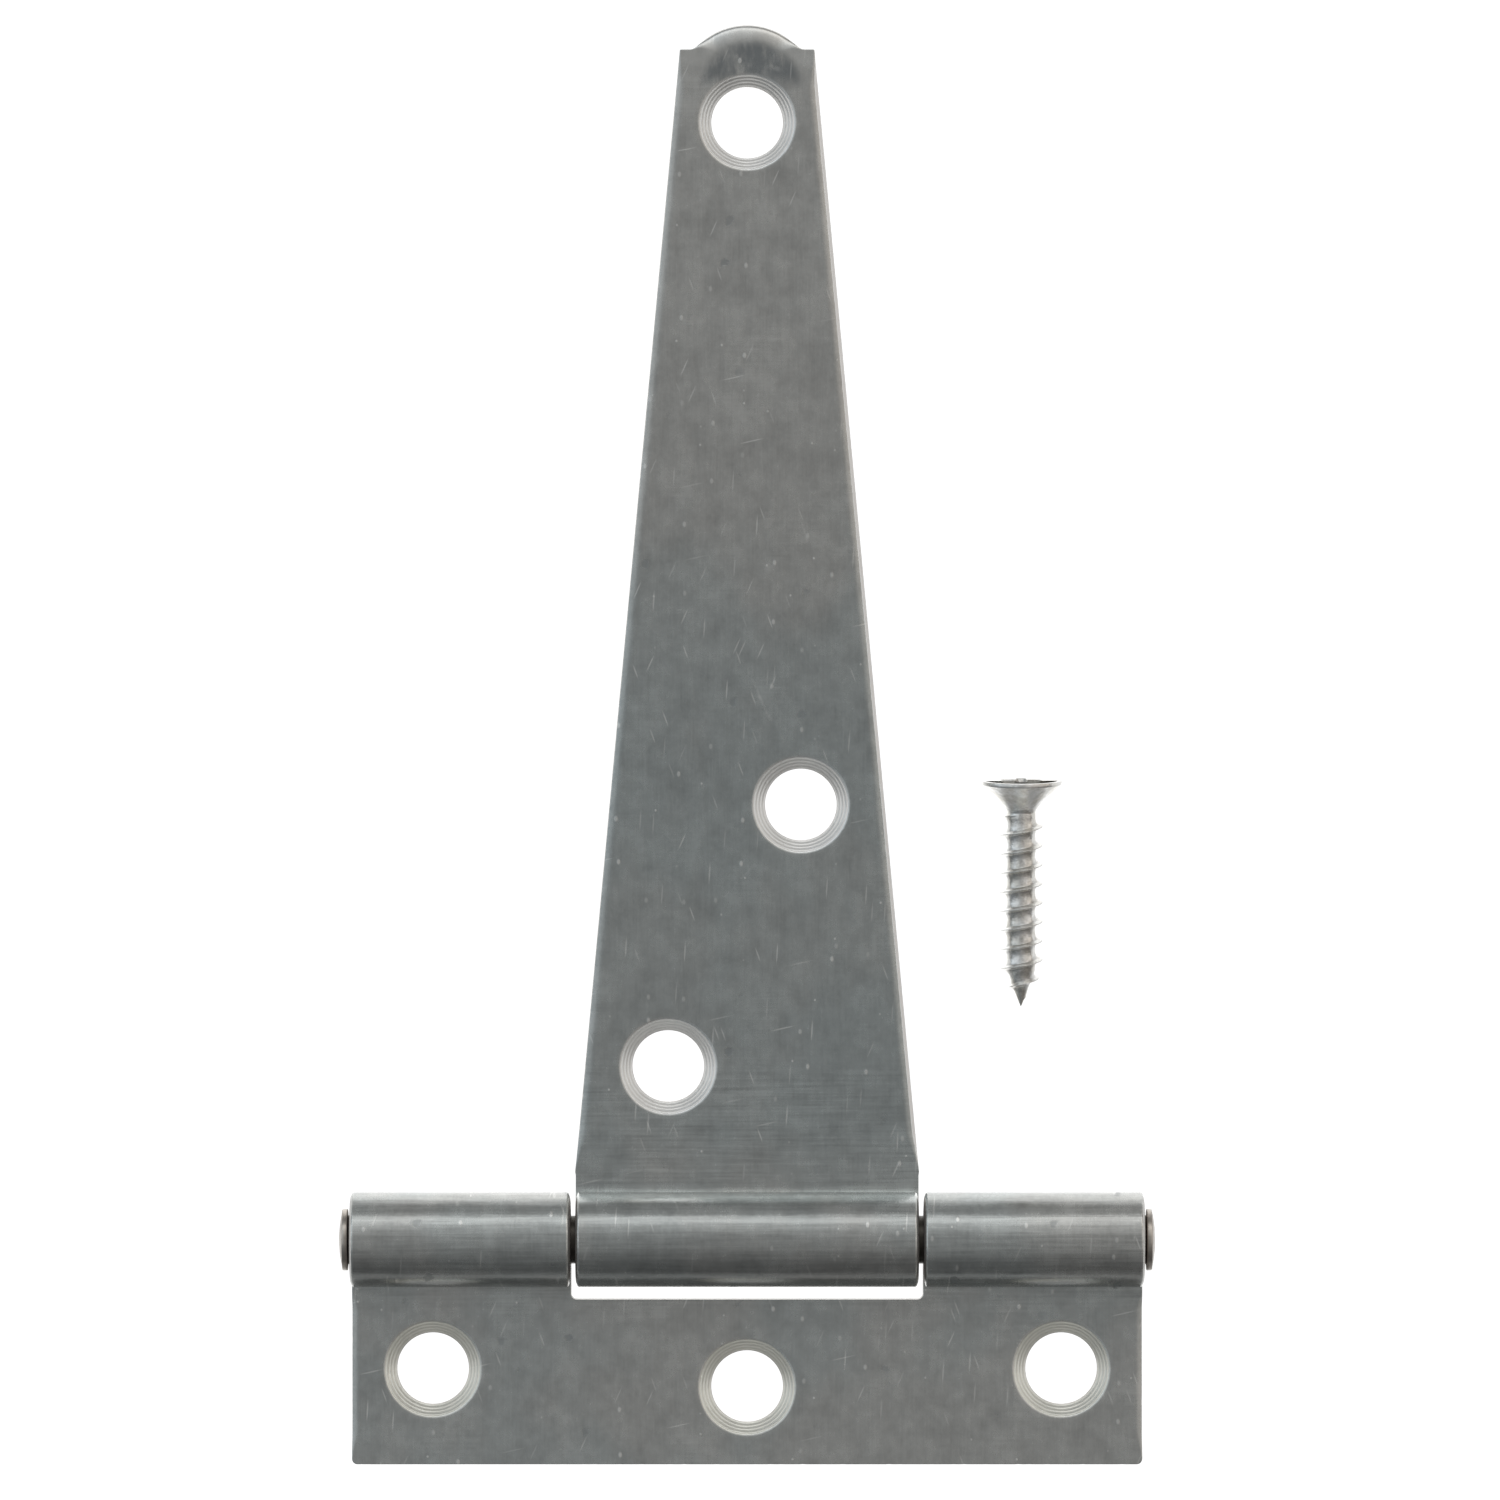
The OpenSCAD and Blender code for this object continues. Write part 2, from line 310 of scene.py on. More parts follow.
def zincFinish(name, plate):
    z, seed = zinc, plate["seed"]
    material, start, p = newFinish(name)
    wear, cutOrShaded, ring, sheared = (attribute(start, a) for a in markNames)
    y = p.node("SeparateXYZ", {}, {"Vector": p}, ["Y"])[0]

    def grain(kind):
        size, shift, detail, roughness = z[kind]
        return p.grain(size, seed + shift, detail, roughness)

    def flecks(where, kind):
        total = 0.0
        for size, shift, reach, share, turn, strength in z[kind]:
            total = where.fleck(size, seed + shift, reach, share, turn) * strength + total
        return total

    # grain, from clouds down to fine lines, which show most near the roll
    cloud, mottle, streak, rolled = (grain(kind) for kind in ("cloud", "mottle", "streak", "rolled"))
    nick = grain("nick").step(0.35, 0.65)
    cloudy = cloud.step(0.52, 0.66)
    low, high = plate["rolledFrom"], plate["rolledTo"]
    lined = y.step(low - 3, low) * y.step(high + 5, high) * 0.8 + cloudy * 0.45

    # specks, etched spots, scratches, long hairlines and the ridges a countersink cutter leaves
    speck, scratch = flecks(p, "specks"), flecks(p, "scratches")
    ragged = p.node("VectorMath", {"operation": "ADD"}, {0: p, 1: grain("wander").tone(0.8)})
    spot = flecks(ragged, "spots")
    hair = abs(grain("drift") - 0.5).step(0.0030, 0.0004) * mottle.step(0.42, 0.62) * cloudy
    ridge = ((ring + mottle * 0.07) * (2 * math.pi / z["ridgePitch"])).sine()
    # the tip's stain and pale rim, front and back; all places are in millimetres, y from the pin
    fromTip = p.node("VectorMath", {"operation": "DISTANCE"}, {0: p, 1: plate["tipCentre"]}, ["Value"])[0]
    stain = fromTip.step(4.7, 3.8) * y.step(95.8, 97.6) * grain("blot").step(0.26, 0.6)
    rim = fromTip.step(4.2, 4.9) * y.step(97.6, 98.6)

    warm = grain("patch").step(0.42, 0.60) * z["olivePatches"] + y.step(z["oliveFrom"], z["oliveTo"])
    warm = warm + y.step(12, 4) * z["olivePatches"]
    light = mottle * z["mottleTone"] + (cloud - 0.5) * z["cloudTone"] + (streak - 0.5) * z["streakTone"]
    light = light + (rolled - 0.5) * lined * z["rolledTone"] + z["tone"]
    # painted highlight: a bright strip across the front and back where the roll closes
    paintedSeamHighlight = y.step(4.5, 3.8) * y.step(3.05, 3.35) * plate["seamHighlightTone"]
    # painted light: the strap lighter towards its tip, the seam's painted highlight and each leaf's own
    # level of light
    shade = y.step(z["paintedLightFrom"], z["paintedLightTo"]) * z["paintedLightTone"] + paintedSeamHighlight + plate["tone"]
    colour = warm.step(0.0, 1.0).mix(z["blue"], z["olive"]).tone(light * shade)
    for mark, kind, tint in ((spot, "spot", "dull"), (stain, "stain", "dull"), (rim, "rim", "worn"),
                             (scratch, "scratch", "worn"), (hair, "hair", "worn"), (speck, "speck", "worn")):
        colour = (mark * z[kind + "Share"]).mix(colour, z[tint])
    colour = (wear * (nick * 0.6 + 0.25)).mix(colour, z["worn"])
    ridged = {"Vector": plate["turned"], "Scale": ridge * z["ridgeTone"] + 1}
    cut = start.node("VectorMath", {"operation": "SCALE"}, ridged)
    colour = (cutOrShaded * (mottle * 0.3 + 0.82)).mix(colour, cut)
    colour = (sheared * (1.1 - nick * 0.5)).mix(colour, z["sheared"])

    roughness = (mottle - 0.5) * z["mottleRough"] + (cloud - 0.5) * z["cloudRough"] + z["roughness"]
    roughness = roughness + spot * z["spotRough"] + cutOrShaded * z["boredRough"] + sheared * z["shearedRough"]
    height = 0.0
    for grown, kind in ((cloud, "cloud"), (mottle, "mottle"), (streak, "streak"), (rolled * lined, "rolled"),
                        (speck, "speck"), (spot, "spot"), (scratch, "scratch"), (hair, "hair"),
                        (ridge * cutOrShaded, "ridge")):
        height = grown * z[kind + "Relief"] + height
    closeFinish(start, colour, roughness, height, {"Metallic": z["metal"]})
    return material


pinLook = {
    "steel": (0.47, 0.43, 0.385),
    "dark": (0.20, 0.18, 0.16),
    "bright": (0.62, 0.58, 0.53),
    # painted shade: the near black colour of the shank inside the knuckles
    "gapShade": (0.035, 0.033, 0.028),
    "gapShadeShare": 0.9,
    "stainShare": 0.55,
    "tone": 0.82,                     # lightness without grain, then what each grain adds to it
    "mottleTone": 0.36,
    "drawnTone": 0.2,
    "roughness": 0.36,
    "wornRough": -0.06,
    "mottleRough": 0.2,
    "mottleRelief": 0.02,             # relief in millimetres
    "drawnRelief": 0.002,
}


def pinFinish():
    z = pinLook
    material, start, p = newFinish("pinSteel")
    wear, shadedShank = attribute(start, "edgeWear"), attribute(start, "cutOrShaded")
    mottle = p.grain((0.5, 0.5, 0.5), 3, 4, 0.6)
    drawn = p.grain((4.0, 0.12, 0.12), 11, 3, 0.6)
    stain = p.grain((1.8, 1.8, 1.8), 23, 3, 0.55).step(0.45, 0.7)
    light = z["tone"] + mottle * z["mottleTone"] + (drawn - 0.5) * z["drawnTone"]
    colour = (stain * z["stainShare"]).mix(z["steel"], z["dark"]).tone(light)
    colour = (wear * (0.2 + mottle * 0.8)).mix(colour, z["bright"])
    # painted shade on the shank where the knuckles close round it
    colour = (shadedShank * z["gapShadeShare"]).mix(colour, z["gapShade"])
    roughness = z["roughness"] + (mottle - 0.5) * z["mottleRough"] + wear * z["wornRough"]
    height = mottle * z["mottleRelief"] + drawn * z["drawnRelief"]
    closeFinish(start, colour, roughness, height, {"Metallic": 1.0})
    return material


screwLook = {
    "zinc": (0.90, 0.90, 0.88),
    "warm": (0.74, 0.72, 0.67),
    # dark is the colour of the painted shade in the thread hollows and the recess
    "dark": (0.22, 0.21, 0.20),
    "metal": 0.75,
    "crest": (0.93, 0.93, 0.91),
    "shadeShare": 0.8,
    "tone": 0.68,                     # lightness without grain, then what each grain adds to it
    "mottleTone": 0.78,
    "turnedTone": 0.12,
    "roughness": 0.17,
    "mottleRough": 0.2,
    "shadeRough": 0.2,
    "mottleRelief": 0.032,            # relief in millimetres
    "turnedRelief": 0.003,
}


def screwFinish():
    z = screwLook
    material, start, p = newFinish("brightZinc")
    wear, paintedShade = attribute(start, "edgeWear"), attribute(start, "cutOrShaded")
    mottle = p.grain((0.34, 0.34, 0.34), 5, 4, 0.62)
    turned = p.grain((2.5, 0.10, 2.5), 15, 2, 0.6)
    stain = p.grain((1.1, 1.6, 1.1), 27, 3, 0.5).step(0.36, 0.62)
    light = z["tone"] + mottle * z["mottleTone"] + (turned - 0.5) * z["turnedTone"]
    colour = stain.mix(z["zinc"], z["warm"]).tone(light)
    colour = (wear * (0.3 + mottle * 0.5)).mix(colour, z["crest"])
    # painted shade: the thread hollows and the recess are mixed towards dark
    colour = (paintedShade * z["shadeShare"]).mix(colour, z["dark"])
    roughness = z["roughness"] + (mottle - 0.5) * z["mottleRough"] + paintedShade * z["shadeRough"]
    height = mottle * z["mottleRelief"] + turned * z["turnedRelief"]
    closeFinish(start, colour, roughness, height, {"Metallic": z["metal"]})
    return material


# meshes

def startMesh():
    bm = bmesh.new()
    return bm, [bm.verts.layers.float.new(name) for name in markNames]


def addVert(bm, marks, place, *values):
    vert = bm.verts.new(place)
    for layer, value in zip(marks, values):
        vert[layer] = value
    return vert


def endMesh(name, bm, body, node, finish):
    bmesh.ops.recalc_face_normals(bm, faces=bm.faces)
    mesh = bpy.data.meshes.new(name)
    bm.to_mesh(mesh)
    bm.free()
    mesh.materials.append(finish)
    piece = bpy.data.objects.new(name, mesh)
    bpy.context.scene.collection.objects.link(piece)
    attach(piece, body)
    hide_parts(node)
    return piece


def roundedLine(corners, spacing):
    # corners are x, y and radius; straight runs are cut to about the spacing
    line = [Vector(corners[0][:2])]
    for before, here, after in zip(corners, corners[1:], corners[2:]):
        p, q, r = (Vector(c[:2]) for c in (before, here, after))
        radius = here[2]
        a, b = (p - q).normalized(), (r - q).normalized()
        half = a.angle(b) / 2
        centre = q + (a + b).normalized() * radius / math.sin(half)
        reach = radius / math.tan(half)
        start, stop = q + a * reach - centre, q + b * reach - centre
        turn = math.atan2(start.x * stop.y - start.y * stop.x, start.dot(stop))
        count = max(3, math.ceil(abs(turn) / sheet["arcStep"]))
        arc = []
        for k in range(count + 1):
            c, s = math.cos(turn * k / count), math.sin(turn * k / count)
            arc.append(centre + Vector((start.x * c - start.y * s, start.x * s + start.y * c)))
        line += straight(line[-1], arc[0], spacing) + arc
    end = Vector(corners[-1][:2])
    return line + straight(line[-1], end, spacing) + [end]


def straight(a, b, spacing):
    # the points strictly between two others
    count = max(1, round((b - a).length / spacing))
    return [a.lerp(b, k / count) for k in range(1, count)]


def edgeSteps(draft, roll, drop):
    # the side of the sheet from back to front, as inset, height, wear and bare metal:
    # burr, sheared wall, which leans in by the draft, and die roll
    s = sheet
    t, burr, wall, n = s["thickness"], s["burr"], s["wallPoints"], s["rollPoints"]
    steps = [(burr + s["backStrip"], 0.0, 0.0, 0.0)]
    for k in range(s["burrPoints"] + 1):
        a = math.pi / 2 * k / s["burrPoints"]
        steps.append((burr * (1 - math.sin(a)), burr * (1 - math.cos(a)), s["burrWear"], 0.0))
    for k in range(1, wall):
        steps.append((draft * k / wall, burr + (t - drop - burr) * k / wall, s["wallWear"], 1.0))
    for k in range(n + 1):
        a = math.pi / 2 * k / n
        inset, height = draft + roll * (1 - math.cos(a)), t - drop * (1 - math.sin(a))
        steps.append((inset, height, s["rollWear"] * (1 - k / n) ** 1.6, s["rollRaw"] * (k == 0)))
    return steps


def sideWall(bm, marks, line, edgeAt, nick):
    # the wall along an outline whose metal lies to the left; returns its rows, each back to front
    rows = []
    for i, p in enumerate(line):
        ahead = line[min(i + 1, len(line) - 1)] - p
        behind = p - line[max(i - 1, 0)]
        u = ahead.normalized() if ahead.length > 0 else behind.normalized()
        v = behind.normalized() if behind.length > 0 else u
        along = (u + v).normalized()
        out = Vector((along.y, -along.x)) / max(along.dot(u), 0.5)
        wave = noise.noise(Vector((p.x, p.y, 0)) / sheet["waveSize"])
        dent = nick * max(0.0, noise.noise(Vector((p.x, p.y, 5 * mm)) / sheet["nickSize"])) ** 2
        free = min(i, len(line) - 1 - i) > 3   # the ends of the line meet the roll and stay straight
        draft, roll, drop = edgeAt(p)
        row = []
        for inset, height, worn, raw in edgeSteps(draft, roll * (1 + sheet["rollWave"] * wave * free), drop):
            inset += dent * (height / sheet["thickness"]) * free
            place = (p.x - out.x * inset, p.y - out.y * inset, height)
            row.append(addVert(bm, marks, place, worn, 0.0, 0.0, raw))
        rows.append(row)
    for a, b in zip(rows, rows[1:]):
        for k in range(len(a) - 1):
            bm.faces.new((a[k], b[k], b[k + 1], a[k + 1])).smooth = True
    return rows


def screwHole(bm, marks, mount):
    # burr, bore, countersink, and the rim of the front that the punch pulled in a little
    x, y, _ = mount["pos_m"]
    radius = mount["dims"]["r_mm"] * mm
    t, wall = sheet["thickness"], sheet["thickness"] - sheet["hollowDepth"]
    outer, count = sheet["hollowRadius"], sheet["holePoints"]
    steps = [                                    # radius, height, wear, bored, raw
        (radius + 0.30 * mm, 0.0, 0.0, 0.0, 0.0),
        (radius + 0.06 * mm, 0.0, 0.3, 0.0, 0.3),
        (radius + 0.015 * mm, 0.015 * mm, 0.3, 0.3, 0.8),
        (radius, 0.06 * mm, 0.1, 1.0, 1.0),
        (radius, wall - 0.05 * mm, 0.1, 1.0, 1.0),
        (radius + 0.012 * mm, wall, 0.2, 1.0, 0.8),
        (radius + 0.05 * mm, wall + 0.045 * mm, 0.1, 1.0, 0.2),
        (outer - 0.06 * mm, t - 0.085 * mm, 0.1, 1.0, 0.0),
        (outer - 0.015 * mm, t - 0.04 * mm, 0.6, 1.0, 0.0),
        (outer + 0.03 * mm, t - 0.018 * mm, 0.5, 0.3, 0.0),
        (outer + 0.16 * mm, t - 0.006 * mm, 0.1, 0.0, 0.0),
        (sheet["dishRadius"], t, 0.0, 0.0, 0.0),
    ]
    rings = []
    for r, z, worn, cut, raw in steps:
        rings.append([])
        for k in range(count):
            a = 2 * math.pi * k / count
            place = (x + r * math.cos(a), y + r * math.sin(a), z)
            rings[-1].append(addVert(bm, marks, place, worn, cut, r / mm, raw))
    for a, b in zip(rings, rings[1:]):
        for k in range(count):
            bm.faces.new((a[k], a[(k + 1) % count], b[(k + 1) % count], b[k])).smooth = True
    return rings[0], rings[-1]


def rolledTab(bm, marks, startRow, endRow, towards, startSide, endSide):
    # takes the sheet's section from the tab line to below the pin and on round it.
    # A side is its x and how far it stands proud at the bore; towards is the roll's first way along y
    t, draw = sheet["thickness"], sheet["endDraw"]
    middle = (startSide[0] + endSide[0]) / 2
    section = [(v.co.x, v.co.z, v[marks[0]], v[marks[3]], *startSide) for v in startRow]
    section += [(v.co.x, v.co.z, v[marks[0]], v[marks[3]], *endSide) for v in reversed(endRow)]
    last = list(startRow) + list(reversed(endRow))
    yTab = startRow[0].co.y
    n = sheet["rollStations"]
    stations = [(yTab * 0.5, 0.0), (0.0, 0.0)] + [(0.0, wrapAngle * k / n) for k in range(1, n + 1)]
    for y, angle in stations:
        share = smoothStep(angle / sheet["endTurn"])
        loop = []
        for x, height, worn, raw, sideX, proud in section:
            way = 1 if sideX > middle else -1
            outside = max(0.0, 1 - height / sheet["endRoundingDepth"]) ** 2
            shift = share * (proud - draw * (1 - height / t) - sheet["endRounding"] * outside)
            r = barrelR - height
            place = (x + way * shift, y + towards * r * math.sin(angle), barrelR - r * math.cos(angle))
            loop.append(addVert(bm, marks, place, worn, 0.0, 0.0, raw))
        for k in range(len(loop)):
            j = (k + 1) % len(loop)
            bm.faces.new((last[k], last[j], loop[j], loop[k])).smooth = True
        last = loop
    bm.faces.new(last)


def fillFlat(bm, chains, normal):
    # the flat face between closed chains of points
    edges = []
    for chain in chains:
        for a, b in zip(chain, chain[1:] + chain[:1]):
            edges.append(bm.edges.get((a, b)) or bm.edges.new((a, b)))
    made = bmesh.ops.triangle_fill(bm, edges=edges, use_beauty=True, use_dissolve=False, normal=normal)
    for part in made["geom"]:
        if isinstance(part, bmesh.types.BMFace):
            part.smooth = False


def fillLeaf(bm, marks, rows, holeNames):
    holes = [screwHole(bm, marks, mounts[name]) for name in holeNames]
    fillFlat(bm, [[row[-1] for row in rows]] + [hole[1] for hole in holes], (0, 0, 1))
    fillFlat(bm, [[row[0] for row in rows]] + [hole[0] for hole in holes], (0, 0, -1))


print("helpers ready")

strap = {
    "tabY": 4.7 * mm,           # where the flat leaf ends and the roll begins
    "rootY": 5.45 * mm,
    "tabHalf": 14.35 * mm,
    "endHalf": 5.65 * mm,
    "shoulderRise": 2.1 * mm,   # the tip stands this far out past its shoulders
    "tipR": 5.78 * mm,
    "tipPoints": 26,
    "filletR": 0.8 * mm,
    "filletPoints": 7,
    "tipFrom": 0.05 * mm,       # the tip's own edge begins this far past its shoulders
    "cornerR": 0.14 * mm,
    "rootR": 0.4 * mm,
    "rootSlant": 0.15 * mm,     # half the length over which the root widens
    "spacing": 0.3 * mm,
    "nick": 0.05 * mm,
    # along each stretch of the edge: draft of the wall, and width and drop of the die roll
    "tabEdge": (0.01 * mm, 0.04 * mm, 0.02 * mm),
    "leftEdge": (0.05 * mm, 0.75 * mm, 0.20 * mm),
    "rightEdge": (0.28 * mm, 0.60 * mm, 0.20 * mm),
    "cornerEdge": (0.02 * mm, 0.08 * mm, 0.04 * mm),
    "tipEdge": (0.12 * mm, 1.9 * mm, 0.45 * mm),
    # lengths over which one edge turns into the next
    "rootBlend": 4 * mm,
    "shoulderBlend": 3.5 * mm,
    "tipBlend": 1.3 * mm,
}


def strapLine():
    # up the right side, over the tip and down the left side
    s = strap
    tipY = strapHigh.y
    shoulderY, centreY = tipY - s["shoulderRise"], tipY - s["tipR"]
    f, big = s["filletR"], s["tipR"]
    filletUp = shoulderY + f - centreY
    filletX = math.sqrt((big + f) ** 2 - filletUp ** 2)
    tipAngle = math.atan2(filletX, filletUp)
    root = [
        (s["tabHalf"], s["tabY"], 0.0),
        (s["tabHalf"], s["rootY"] - s["rootSlant"], s["rootR"]),
        (strapHigh.x, s["rootY"] + s["rootSlant"], s["rootR"]),
        (s["endHalf"], shoulderY, s["cornerR"]),
        (filletX, shoulderY, 0.0),
    ]
    half = roundedLine(root, s["spacing"])
    turns = s["filletPoints"]
    for k in range(1, turns + 1):
        a = -math.pi / 2 - (math.pi / 2 - math.atan2(filletUp, filletX)) * k / turns
        half.append(Vector((filletX + f * math.cos(a), shoulderY + f + f * math.sin(a))))
    count = s["tipPoints"]
    for k in range(1, count):
        a = tipAngle * (1 - k / count)
        half.append(Vector((big * math.sin(a), centreY + big * math.cos(a))))
    return half + [Vector((0.0, tipY))] + [Vector((-p.x, p.y)) for p in reversed(half)]


def blendEdge(first, second, share):
    return [a + (b - a) * smoothStep(share) for a, b in zip(first, second)]


def strapEdge(p):
    s = strap
    shoulderY = strapHigh.y - s["shoulderRise"]
    if p.y > shoulderY + s["tipFrom"]:
        return blendEdge(s["cornerEdge"], s["tipEdge"], (p.y - shoulderY) / s["tipBlend"])
    side = s["rightEdge"] if p.x > 0 else s["leftEdge"]
    fromRoot = blendEdge(s["tabEdge"], side, (p.y - s["rootY"]) / s["rootBlend"])
    return blendEdge(s["cornerEdge"], fromRoot, (shoulderY - p.y) / s["shoulderBlend"])


def makeStrap(finish):
    bm, marks = startMesh()
    rows = sideWall(bm, marks, strapLine(), strapEdge, strap["nick"])
    fillLeaf(bm, marks, rows, ("strap_first_hole", "strap_second_hole", "strap_tip_hole"))
    half = strap["tabHalf"]
    rolledTab(bm, marks, rows[0], rows[-1], -1, (half, 0.0), (-half, 0.0))
    return endMesh("strapLeaf", bm, "strap", "strap_leaf", finish)


butt = {
    "half": 33.075 * mm,
    "slotHalf": 14.7 * mm,
    "slotY": -5.08 * mm,
    "slotCornerR": 0.45 * mm,
    "tabY": -4.45 * mm,
    "cornerR": 0.5 * mm,
    "spacing": 0.3 * mm,
    "nick": 0.07 * mm,
    "sideEdge": (0.06 * mm, 0.6 * mm, 0.17 * mm),
    "plainEdge": (0.02 * mm, 0.08 * mm, 0.04 * mm),
    "sideStrip": 0.2 * mm,      # the sides' own edge is found this far in
    "cornerBlend": 2.5 * mm,
    "tabBlend": 1.5 * mm,
}


def makeButt(finish):
    b = butt
    bm, marks = startMesh()
    half, slotHalf, low = b["half"], b["slotHalf"], buttLow.y
    proud = buttHigh.x - half
    outer = [
        (-half, b["tabY"], 0.0),
        (-half, low, b["cornerR"]),
        (half, low, b["cornerR"]),
        (half, b["tabY"], 0.0),
    ]
    slot = [
        (slotHalf, b["tabY"], 0.0),
        (slotHalf, b["slotY"], b["slotCornerR"]),
        (-slotHalf, b["slotY"], b["slotCornerR"]),
        (-slotHalf, b["tabY"], 0.0),
    ]

    def buttEdge(p):
        if abs(p.x) < half - b["sideStrip"]:
            return b["plainEdge"]
        fromCorner = blendEdge(b["plainEdge"], b["sideEdge"], (p.y - low - b["cornerR"]) / b["cornerBlend"])
        return blendEdge(b["plainEdge"], fromCorner, (b["tabY"] - p.y) / b["tabBlend"])

    outerRows = sideWall(bm, marks, roundedLine(outer, b["spacing"]), buttEdge, b["nick"])
    slotRows = sideWall(bm, marks, roundedLine(slot, b["spacing"]), buttEdge, 0.0)
    fillLeaf(bm, marks, outerRows + slotRows, ("butt_left_hole", "butt_middle_hole", "butt_right_hole"))
    rolledTab(bm, marks, outerRows[0], slotRows[-1], 1, (-half, proud), (-slotHalf, 0.0))
    rolledTab(bm, marks, slotRows[0], outerRows[-1], 1, (slotHalf, 0.0), (half, proud))
    return endMesh("buttLeaf", bm, "butt", "butt_leaf", finish)


def turnedRings(bm, marks, profile, count, place):
    # profile is radius, height and marks; place takes a point of the lathe's frame to the hinge's
    rings = []
    for r, z, *values in profile:
        if r == 0:
            rings.append([addVert(bm, marks, place(Vector((0, 0, z))), *values)])
            continue
        rings.append([])
        for k in range(count):
            a = 2 * math.pi * k / count
            point = place(Vector((r * math.cos(a), r * math.sin(a), z)))
            rings[-1].append(addVert(bm, marks, point, *values))
    joinRings(bm, rings, count)


def joinRings(bm, rings, count):
    for a, b in zip(rings, rings[1:]):
        for k in range(count):
            j = (k + 1) % count
            corners = [a[0]] if len(a) == 1 else [a[k], a[j]]
            corners += [b[0]] if len(b) == 1 else [b[j], b[k]]
            bm.faces.new(corners).smooth = True


pin = {
    "shankR": 2.0 * mm,
    "headH": 0.75 * mm,
    "rimH": 0.45 * mm,
    "rimRounding": 0.1 * mm,
    "peen": 0.06 * mm,        # depth of the hammer marks, which only go inwards
    "peenSize": 1.3 * mm,
    "squeeze": 0.03,          # how far out of round the hammering leaves a head
    "squeezeSize": 3 * mm,
    "unshadedEnds": 2 * mm,      # the painted shade on the shank stops this far short of the heads
    "points": 96,
    "domePoints": 16,
}


def makePin(finish):
    s = pin
    bm, marks = startMesh()
    headR = (pinHigh.z - pinLow.z) / 2
    end, inner = pinHigh.x, pinHigh.x - s["headH"]
    domeH = s["headH"] - s["rimH"]
    domeR = (headR ** 2 + domeH ** 2) / (2 * domeH)
    e = s["rimRounding"]
    spread = math.asin((headR - e) / domeR)
    half = []
    for k in range(s["domePoints"] + 1):
        share = k / s["domePoints"]
        a = spread * share
        half.append((domeR * math.sin(a), end - domeR * (1 - math.cos(a)), 0.5 * share ** 6))
    half += [(headR - e * 0.35, end - domeH + e * 0.35, 1.0), (headR, end - domeH - e * 0.4, 0.8)]
    half += [(headR, inner + e * 0.8, 0.3), (headR - e * 0.3, inner + e * 0.2, 0.5), (headR - e, inner, 0.2)]
    half += [(s["shankR"] + e, inner, 0.0), (s["shankR"], inner - e, 0.0)]
    profile = [(r, z, worn, 0.0) for r, z, worn in half]
    # painted shade: the shank is painted near black where the knuckles turn on it
    shadedShank = inner - s["unshadedEnds"]
    profile += [(s["shankR"], shadedShank, 0.0, 1.0), (s["shankR"], -shadedShank, 0.0, 1.0)]
    profile += [(r, -z, worn, 0.0) for r, z, worn in reversed(half)]

    def place(p):
        share = smoothStep((abs(p.z) - inner) / (s["headH"] - s["rimH"]))
        blow = abs(noise.noise(Vector((p.x, p.y, p.z * 2)) / s["peenSize"]))
        around = 1 - share * s["squeeze"] * abs(noise.noise(p / s["squeezeSize"]))
        along = p.z - math.copysign(s["peen"] * share * blow, p.z)
        return Vector((along, p.x * around, axisZ + p.y * around))

    turnedRings(bm, marks, profile, s["points"], place)
    return endMesh("hingePin", bm, "butt", "hinge_pin", finish)


screw = {
    "length": 19.05 * mm,
    "headR": 3.4 * mm,
    "headH": 2.7 * mm,
    "rimH": 0.35 * mm,
    "rimRounding": 0.07 * mm,
    "bugle": 1.25,             # how hollow the underside of the head is
    "buglePoints": 14,
    "coreR": 1.2 * mm,
    "threadR": 1.84 * mm,
    "pitch": 1.6 * mm,
    "threadBase": 0.44 * mm,
    "rootHollow": 0.30,        # how far the hollow between threads climbs their flanks
    "threadStart": 0.8 * mm,
    "threadFrom": 0.3 * mm,
    "threadRise": 2.4 * mm,    # the thread grows to its full height over this
    "threadRunOut": 0.8 * mm,  # and runs out under the head over this
    "pointL": 3.1 * mm,
    "pointRound": 0.9,         # below 1 the point swells a little
    # painted shade: how dark the hollow at each thread's foot is painted, and over what reach
    "hollowShade": 0.32,
    "hollowShadeReach": 0.28 * mm,
    "points": 80,
    "rowsPerPitch": 40,
    "recessR": 1.75 * mm,
    "recessDepth": 1.65 * mm,
    "recessArm": 0.42 * mm,
    "recessCorner": 0.15 * mm,
    "recessLip": 0.04 * mm,
    "recessTaper": 0.68,       # how much narrower the cross, its arms and its corners are at the bottom
    "armTaper": 0.25,
    "cornerTaper": 0.8,
    "recessShadeDepth": 1 / 3,       # share of the depth by which its painted shade is full
    "recessSteps": (0.0, 0.03, 0.3, 0.6, 0.85, 1.0),   # shares of the depth
}


def screwPlace():
    # it lies on the rim of its head and on the thread just behind the point
    s = screw
    tilt = math.atan((s["headR"] - s["threadR"]) / (s["length"] - s["rimH"] - s["pointL"]))
    up = s["threadR"] * math.cos(tilt) - s["pointL"] * math.sin(tilt)
    spot = Vector(((screwLow.x + screwHigh.x) / 2, screwLow.y, up))
    return Matrix.Translation(spot) @ Matrix.Rotation(tilt - math.pi / 2, 4, "X")


